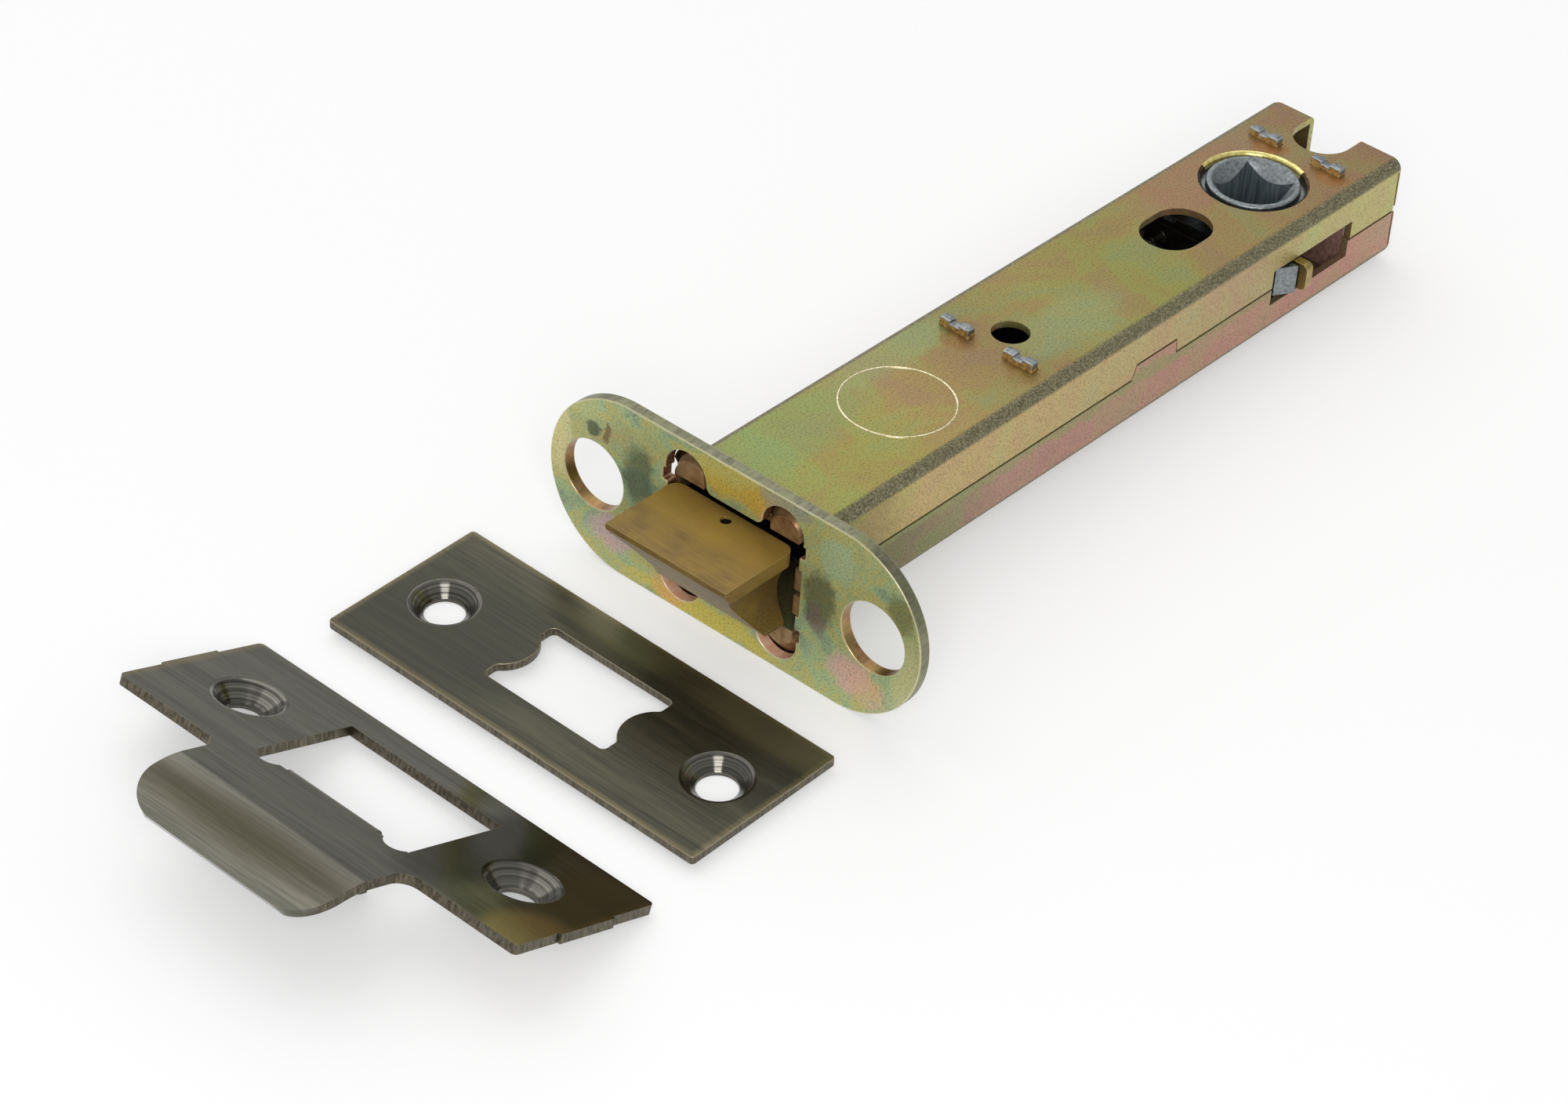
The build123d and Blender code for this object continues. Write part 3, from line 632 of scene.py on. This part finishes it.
def swell(bm):
    """Spreads the swollen corners behind the lobes, most below, and least on the far side above."""
    moved = 0
    for vert in bm.verts:
        if not forend_back < vert.co.x < swollen_to:
            continue
        if abs(vert.co.y) < swollen_y and abs(vert.co.z) < swollen_z:
            continue
        middle = Vector((vert.co.x, math.copysign(lobe_y, vert.co.y), math.copysign(lobe_z, vert.co.z)))
        spread_mm = 1.5 if vert.co.z < 0 else 1.0 if vert.co.y < 0 else 0.6
        vert.co += (vert.co - middle).normalized() * spread_mm * mm
        moved += 1
    print("swollen points:", moved)


def open_seam(bm):
    """Widens the rounds along the side seam and its locking tab into half of a narrow, dark groove."""
    worn = bm.faces.layers.float["worn"]
    away = math.copysign(1, sum(vert.co.z for vert in bm.verts))
    lips = set()
    for face in bm.faces:
        spot = face.calc_center_median()
        beside_window = swollen_to < spot.x < window_x[0] or spot.x > window_x[1]
        on_seam = abs(spot.y) > wall_round and seam_z[0] < spot.z < seam_z[1]
        if face[worn] and beside_window and on_seam:
            # The seam's lips get the crevice's painted shade.
            face.material_index = 2
            face[worn] = 0.0
            lips.update(vert for vert in face.verts if abs(vert.co.y) > wall_outside)
    for vert in lips:
        vert.co.z += away * seam_half_width
    print("points of the seam's lips:", len(lips))


def press_marks(bm):
    """What the press left on a case half."""
    swell(bm)
    open_seam(bm)


print("the seam's groove is", round(2 * seam_half_width / mm, 2), "mm wide")

# %% [markdown]
# Now the case and the forend are dressed. Both halves could be joined into one mesh, but they stay two
# pieces, as the real ones are, each with its own film. The forend's edges are rounded more than the case's,
# because blanking rolls the edges of thick sheet over.

# %% Case and forend
for node, film in (("case_upper", upper_film), ("case_lower", lower_film)):
    finishes = [film, ear_film, crevice_shade_film, rim_painted_highlight]
    dress(node, finishes, pick=case_finish, round_mm=0.14, reshape=press_marks)
finishes = [forend_film, blanked_rim, coppery_wall, opening_wall_shade, lobe_floor_lit]
dress("forend_plate", finishes, pick=forend_finish, round_mm=0.2)

# %% [markdown]
# A plain circle is stamped on the upper half of the case, a raised line 0.4 mm wide and 0.1 mm high. A bump
# could draw it, but only in the shading, not in the mesh. So it is a bead with a real height: a small
# circle spun once round the centre of the stamp, and sunk a little more than half in the sheet.

# %% Stamped circle
stamp_middle = Vector((31.7, 0.15, case_top_mm)) * mm
stamp_radius = 7.75 * mm
bead = 0.24 * mm
bead_sunk = 0.55 * bead

# Zinc plated steel, stamped and rubbed bare: a thin pale line that glints where it faces a lamp.
bright_bead = metal("rubbed_zinc_plate_bead", "#c4b484", "#f0e8c4", 0.4, 0.25, 0.1)
bm = bmesh.new()
section = bmesh.ops.create_circle(bm, segments=8, radius=bead)["verts"]
bmesh.ops.rotate(bm, verts=section, cent=(0, 0, 0), matrix=Matrix.Rotation(math.pi / 2, 3, "X"))
bmesh.ops.translate(bm, verts=section, vec=(stamp_radius, 0, -bead_sunk))
bmesh.ops.spin(
    bm, geom=bm.verts[:] + bm.edges[:], cent=(0, 0, 0), axis=(0, 0, 1), angle=2 * math.pi,
    steps=128, use_merge=True,
)
bmesh.ops.recalc_face_normals(bm, faces=bm.faces)
bmesh.ops.translate(bm, verts=bm.verts, vec=stamp_middle)
for face in bm.faces:
    face.smooth = True
circle = new_object("stamped_circle", bm, [bright_bead])
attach(circle, "case")
print("stamped circle", round(2 * stamp_radius / mm, 1), "mm across")

# %% [markdown]
# The hub and the two blocks are zinc die castings. Cast zinc could be one flat grey, but it has a slightly
# sandy skin and is brighter where a tool or a spindle has rubbed it. So the plain metal serves again, once
# for the cast skin, once for each place where a tool or the plating bath has changed it, and once for the
# pink face behind the window, whose colour is partly painted light.

# %% Cast zinc
# Zinc, die cast: a dull blue grey, slightly sandy, with paler edges.
cast = metal(
    "zinc_die_casting", "#6e7476", "#a0a5a7", 0.45, 0.42, 0.5, edge="#c8ccd0", tint=("#8b9396", 3.0, 0.4)
)
# Zinc, broached square: darker, with fine tool lines down the socket.
socket = metal(
    "broached_zinc", "#485459", "#768286", 0.5, 0.32, 0.4, (1, 1, 0.08), "#a8b0b4", 0.5, metallic=0.35
)
# Zinc, die cast, with film bled onto it from the slots: golden feet under the grey nibs.
foot = metal(
    "film_stained_zinc", "#86683c", "#d4ac68", 0.5, 0.3, 0.6, edge="#ecd49c", metallic=0.4
)
# Zinc, die cast, tinted pink, partly by the plating bath and partly as painted light: a dim pink wall behind
# the side window, which would else render black.
inner_face_lit = metal("pink_zinc_painted_light", "#8c6c60", "#b89080", 0.7, 0.36, 0.3, metallic=0.3)
print("cast zinc finishes:", [m.name for m in (cast, socket, foot, inner_face_lit)])

# %% [markdown]
# The blocks' nibs were staked over the sheet with a punch, so they are crushed lumps, with golden film on
# their feet. Sculpting would do, but a script can't repeat it. So the nibs' edges are divided, and noise
# pushes the new points about and down, never higher than the nib was. The hub is dressed with them.

# %% Staked nibs and hub
case_top = case_top_mm * mm
nib_foot = 0.6 * mm
lump_mm, push_mm = 0.9, 0.16  # size of the lumps, and how far they lean
dent_mm, drop_mm = 0.7, 0.35  # size of the dents, and how deep they go
elsewhere = Vector((9.3, -1.5, -8.0))  # reads the noise in another place, so that Y leans unlike X
socket_half = 4.1 * mm


def crush(bm):
    """Turns the staked nibs above and below the case into crushed lumps."""
    nib_edges = [
        e for e in bm.edges if any(abs(f.calc_center_median().z) > case_top for f in e.link_faces)
    ]
    bmesh.ops.subdivide_edges(bm, edges=nib_edges, cuts=2, use_grid_fill=True)
    moved = 0
    for vert in bm.verts:
        proud = abs(vert.co.z) - case_top
        if proud > 0.05 * mm:
            # noise.noise_vector would lean both ways at once, but gives other values at each run.
            lump = vert.co / (lump_mm * mm)
            down = abs(noise.noise(vert.co / (dent_mm * mm))) * drop_mm * mm * min(1.0, proud / mm)
            vert.co.x += noise.noise(lump) * push_mm * mm
            vert.co.y += noise.noise(lump + elsewhere) * push_mm * mm
            vert.co.z -= math.copysign(down, vert.co.z)
            moved += 1
    for face in bm.faces:
        height = abs(face.calc_center_median().z) - case_top
        if -0.1 * mm < height < nib_foot and abs(face.normal.z) < 0.7:
            face.material_index = 1
    print("crushed points:", moved)


def block_finish(face):
    """Index of a block's finish: cast, or the pink face towards the forend, partly stain and partly painted
    light.
    """
    return 2 if face.normal.x < -0.9 and abs(face.calc_center_median().z) < 7 * mm else 0


def hub_finish(face):
    """Index of the hub's finish: cast, or the broached socket."""
    from_hub = face.calc_center_median().xy - hub_middle
    inside = abs(from_hub.x) < socket_half and abs(from_hub.y) < socket_half
    return 1 if inside and abs(face.normal.z) < 0.3 else 0


for node in ("front_block", "rear_block"):
    dress(node, [cast, foot, inner_face_lit], pick=block_finish, round_mm=0.15, reshape=crush)
dress("hub", [cast, socket], pick=hub_finish, round_mm=0.15)

# %% [markdown]
# The latch bolt is extruded brass, finely ground across and left satin. Where it enters the case it is
# painted a brighter gold: painted light against the shade and the dark reflections that fall on it there. It
# could be shaded as a mirror with a rough surface alone, but then the fine lines of the grinding are
# missing, so its grain is drawn out along Y. Its pin sits deep in its hole and is painted black, as painted
# shade of that hole. The drawbar and the spring plate are passivated like the case, and where they lie
# inside it they are dark with oil and with painted shade.

# %% Bolt and drawbar
# Brass, extruded and finely ground: a deep, dull yellow with faint lines across and bright edges.
brass = metal(
    "satin_ground_brass", "#70592c", "#846a36", 0.35, 0.46, 0.15, (1, 0.12, 1), "#f0dca0", 0.7,
    # Painted light: the brighter gold where the bolt enters the case, against its shade and dark reflections
    # there.
    ("#9a7e32", 5.0, 0.4), 0.5, (((-1.5, 0, 6.1), (7, 24, 4), "#a4863a", 0.6),),
)
# Steel, turned, and painted nearly black without shine: painted shade, so that the pin shows as a dark hole.
pin_painted_shade = metal("pin_black_painted_shade", "#12110e", "#24221c", 0.3, 0.6, 0.2, edge="#2c2a24")
# Zinc plated steel, blanked and yellow passivated: pale straw gold.
bar_steel = metal(
    "passivated_bar_steel", "#9a8a58", "#b49c64", 1.2, 0.36, 0.2, edge="#dccb90", edge_share=0.5
)
# The same under oil, and darkened with painted shade inside the case: a dark brown grey, so that nothing
# gleams inside the slots.
oiled_and_shaded_steel = metal("oiled_inner_steel_painted_shade", "#34322c", "#4c4940", 1.2, 0.45, 0.2, edge="#5c584c")
case_inside_y = 10.5 * mm


def bar_finish(face):
    """Index of the drawbar's or the spring plate's finish: passivated, or oiled and in painted shade inside
    the case.
    """
    return 1 if abs(face.calc_center_median().y) < case_inside_y else 0


dress("latch_bolt", [brass], round_mm=0.18)
dress("bolt_pin", [pin_painted_shade], round_mm=0.1)
for node in ("drawbar", "spring_plate"):
    dress(node, [bar_steel, oiled_and_shaded_steel], pick=bar_finish, round_mm=0.12)

# %% [markdown]
# The springs are bright drawn wire, and hardly seen inside the case. One end of each stays on the front
# block, and the other goes with the drawbar or the spring plate. A rigid coil would stick out of its seat
# when the bolt is drawn in. Bones could bend it, and a straight squash along X towards its fixed end, as
# far as its joint travels, would be all that a coil needs. Here each coil only gets a mesh of its own, and
# the share of its length that such a squash would keep is printed.

# %% Springs
# Spring steel, drawn into wire: bright plain grey.
wire = metal("bright_drawn_wire", "#7a7a7a", "#989898", 0.5, 0.3, 0.1)
first, last = 0, -1
for node, joint, fixed_end in (
    ("bolt_spring", "bolt_slide", last),
    ("lever_spring_left", "plate_slide", first),
    ("lever_spring_right", "plate_slide", first),
):
    coil = dress(node, [wire], round_mm=0.05, sharp_degrees=60)
    places_x = sorted(vert.co.x for vert in coil.data.vertices)
    length = places_x[last] - places_x[first]
    kept = 1 - max(abs(limit) for limit in joints[joint]["range_m"]) / length
    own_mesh(coil)
    print(node, round(length / mm, 1), "mm long, keeps", round(kept, 2))

# %% [markdown]
# The two plates have an aged bronze finish: plated, darkened in a bath, then brushed lengthwise, which rubs
# gold through along the edges. The gold could follow the rounds alone, but it reaches a millimetre in from
# them. In a plate's own axes the distance from the border of its rectangle is simple to work out, so the
# gold is a strip along that border, broken up by the brush lines.

# %% Brushed bronze
def border_strip(tree, place, plate):
    """Grows from 0, a millimetre inside a plate's border, to 0.8 on it."""
    middle, turn, half_size = plate
    local = add(tree, "Mapping", {
        "Vector": place, "Location": [v * mm for v in middle], "Rotation": turn,
    }, vector_type="TEXTURE")
    from_middle = add(tree, "VectorMath", {0: local}, operation="ABSOLUTE")
    border = (half_size[0] * mm, half_size[1] * mm, 0)
    past = add(tree, "VectorMath", {0: from_middle, 1: border}, operation="SUBTRACT")
    sides = add(tree, "SeparateXYZ", {0: past}).node
    nearest = add(tree, "Math", {0: sides.outputs["X"], 1: sides.outputs["Y"]}, operation="MAXIMUM")
    return add(tree, "MapRange", {0: nearest, 1: -1.0 * mm, 2: 0.0, 3: 0.0, 4: 0.8})


def bronze(name, dark, light, gold, rough, metallic, plate, stains):
    """Darkened, brushed bronze. plate is its plate's middle in mm, turn and half size in mm."""
    material, tree = blank_material(name)
    place = add(tree, "TexCoord", out="Object")
    # Real brush lines are near 0.1 mm, drawn at 0.35 mm so that they show.
    lengthwise = add(tree, "Mapping", {"Vector": place, "Scale": (1, 0.03, 1)})
    lines = add(tree, "TexNoise", {
        "Vector": lengthwise, "Scale": 1 / (0.35 * mm), "Detail": 4.0, "Roughness": 0.7,
    })
    broad = add(tree, "TexNoise", {"Vector": lengthwise, "Scale": 1 / (3.0 * mm), "Detail": 2.0})
    half_lines = add(tree, "Math", {0: lines, 1: 0.55}, operation="MULTIPLY")
    blend = add(tree, "Math", {0: broad, 1: 0.45, 2: half_lines}, operation="MULTIPLY_ADD")
    colour = add(tree, "ValToRGB", {0: blend}, stops=((0.40, dark), (0.60, light)))
    for centre, size, code, share in stains:
        colour = stain(tree, place, colour, centre, size, code, share)
    strip = border_strip(tree, place, plate)
    streaky = add(tree, "Math", {0: strip, 1: lines}, operation="MULTIPLY", use_clamp=True)
    colour = add(tree, "Mix", {0: streaky, 6: colour, 7: gold}, 2, data_type="RGBA")
    colour = rub(tree, colour, "#b4a884", 0.45)
    close(tree, {"Base Color": colour, "Metallic": metallic, "Roughness": rough}, lines, 0.3, 0.02)
    return material


face_turn = (0, math.radians(-1.96), math.radians(-0.8))
strike_turn = (0, math.radians(18.68), math.radians(-1.2))
print("the strike leans", round(math.degrees(strike_turn[1] - face_turn[1]), 1), "degrees off the table")

# %% [markdown]
# The face plate came dark out of its bath. Its far end is darker, with painted shade, and its rear border
# paler and greener, with painted light; both are partly patina too. The strike is paler and shinier, with a
# dark patch on its near part and a dark lip that are partly patina and partly painted shade, a paler patch
# of painted light near its near end, and one rubbed corner. Noise can't put these in their places, and a
# painted picture would need the plates unwrapped, so they are stains again.

# %% Bronze of the two plates
# Steel, bronze plated, darkened and brushed: deep olive brown with fine lines and worn gold borders.
face_bronze = bronze(
    "brushed_bronze_face_plate", "#36352a", "#504e3c", "#948860", 0.27, 0.65,
    ((-21.9, 4.8, -13.9), face_turn, (12.85, 31.5)),
    (
        # Partly patina, partly painted light and shade: dark far end, paler rear border, darkest near corner.
        ((-26, 26, -13), (16, 24, 6), "#2c2b22", 0.6),
        ((-10, 6, -13), (6, 14, 5), "#72704e", 0.5),
        ((-11, -18, -13), (6, 18, 5), "#706a50", 0.65),
        ((-22, -25.5, -13), (4, 5, 5), "#1c1a12", 0.5),
    ),
)
# The same on the strike, polished before it was darkened: a smoother, paler grey brown that mirrors more.
strike_bronze = bronze(
    "brushed_bronze_strike", "#605f55", "#7c7a6e", "#a8996c", 0.13, 0.9,
    ((-54.8, 6.1, -11.5), strike_turn, (100, 34.2)),
    (
        # Partly patina, partly painted light and shade: dark near patch, paler near end, rubbed corner, dark
        # lip.
        ((-54, -10, -11), (22, 9, 12), "#2c2a20", 0.75),
        ((-52, -24, -12), (12, 8, 9), "#7c7458", 0.6),
        ((-64, -26, -7.5), (8, 7, 8), "#c0ac78", 0.7),
        ((-76, 6, -7.5), (6.5, 45, 8), "#38321f", 0.75),
    ),
)
# Steel, sheared and darkened: a streaky grey brown without lines along it.
cut_edge = metal(
    "sheared_bronze_edge", "#4a463a", "#787262", 0.35, 0.4, 0.5, (1, 1, 0.2), "#b8b8a4", 0.5
)
print("plates' finishes:", [m.name for m in (face_bronze, strike_bronze, cut_edge)])

# %% [markdown]
# The countersinks were turned, and the fine rings that a tool leaves spread each highlight into a wedge.
# The rings could be modelled, but would need thousands of faces. An anisotropic shader gives the wedges
# from smooth faces. It needs a tangent that runs round the axis, and the cross product of the normal and
# the axis is just that.

# %% Countersinks
across = 1000  # stretched this much across the axis, noise changes with depth alone and draws rings


def sink_finish(name, turn, axis):
    """Turned countersink about an axis."""
    material, tree = blank_material(name)
    place = add(tree, "TexCoord", out="Object")
    # Real tool marks are near 0.1 mm, drawn at 0.25 mm so that they show.
    rings = add(tree, "Mapping", {
        "Vector": place, "Rotation": turn, "Scale": (across, across, 1),
    }, vector_type="TEXTURE")
    marks = add(tree, "TexNoise", {
        "Vector": rings, "Scale": 1 / (0.25 * mm), "Detail": 3.0, "Roughness": 0.7,
    })
    colour = add(tree, "ValToRGB", {0: marks}, stops=((0.35, "#2c2b28"), (0.65, "#86837a")))
    colour = rub(tree, colour, "#8c867c", 0.3)
    normal = add(tree, "TexCoord", out="Normal")
    around = add(tree, "VectorMath", {0: normal, 1: axis}, operation="CROSS_PRODUCT")
    close(tree, {
        "Base Color": colour, "Metallic": 1.0, "Roughness": 0.22,
        "Anisotropic": 0.9, "Anisotropic Rotation": 0.25, "Tangent": around,
    }, marks, 0.25)
    return material


# Steel, turned and plated gunmetal grey: dark fine rings, and a bright wedge for each lamp.
sinks = {
    "face_plate": sink_finish("turned_gunmetal_face_plate", face_turn, mounts["face_screw_far"]["axis"]),
    "strike_plate": sink_finish("turned_gunmetal_strike", strike_turn, mounts["strike_screw_far"]["axis"]),
}
print("countersink finishes:", [m.name for m in sinks.values()])

# %% [markdown]
# Last the two plates are dressed. Which face is a countersink, a cut edge or brushed could be told by its
# place in the world, but the plates lean in different ways. So the rule measures from the axes of the
# plate's own screws, which the frame gives.

# %% Face plate and strike plate
sink_radius = 5.2 * mm


def plate_finish(screws):
    """The rule for a plate's faces: brushed, cut edge or countersink. screws are mounts of the record."""
    axis = Vector(mounts[screws[0]]["axis"])
    middles = [Vector(mounts[screw]["pos_m"]) for screw in screws]

    def pick(face):
        spot = face.calc_center_median()
        reach = min((spot - m - axis * (spot - m).dot(axis)).length for m in middles)
        slope = abs(face.normal.dot(axis))
        if reach < sink_radius:
            return 2 if slope < 0.99 else 0
        return 1 if slope < 0.3 else 0

    return pick


for node, finish, screws in (
    ("face_plate", face_bronze, ("face_screw_far", "face_screw_near")),
    ("strike_plate", strike_bronze, ("strike_screw_far", "strike_screw_near")),
):
    dress(node, [finish, cut_edge, sinks[node]], pick=plate_finish(screws))
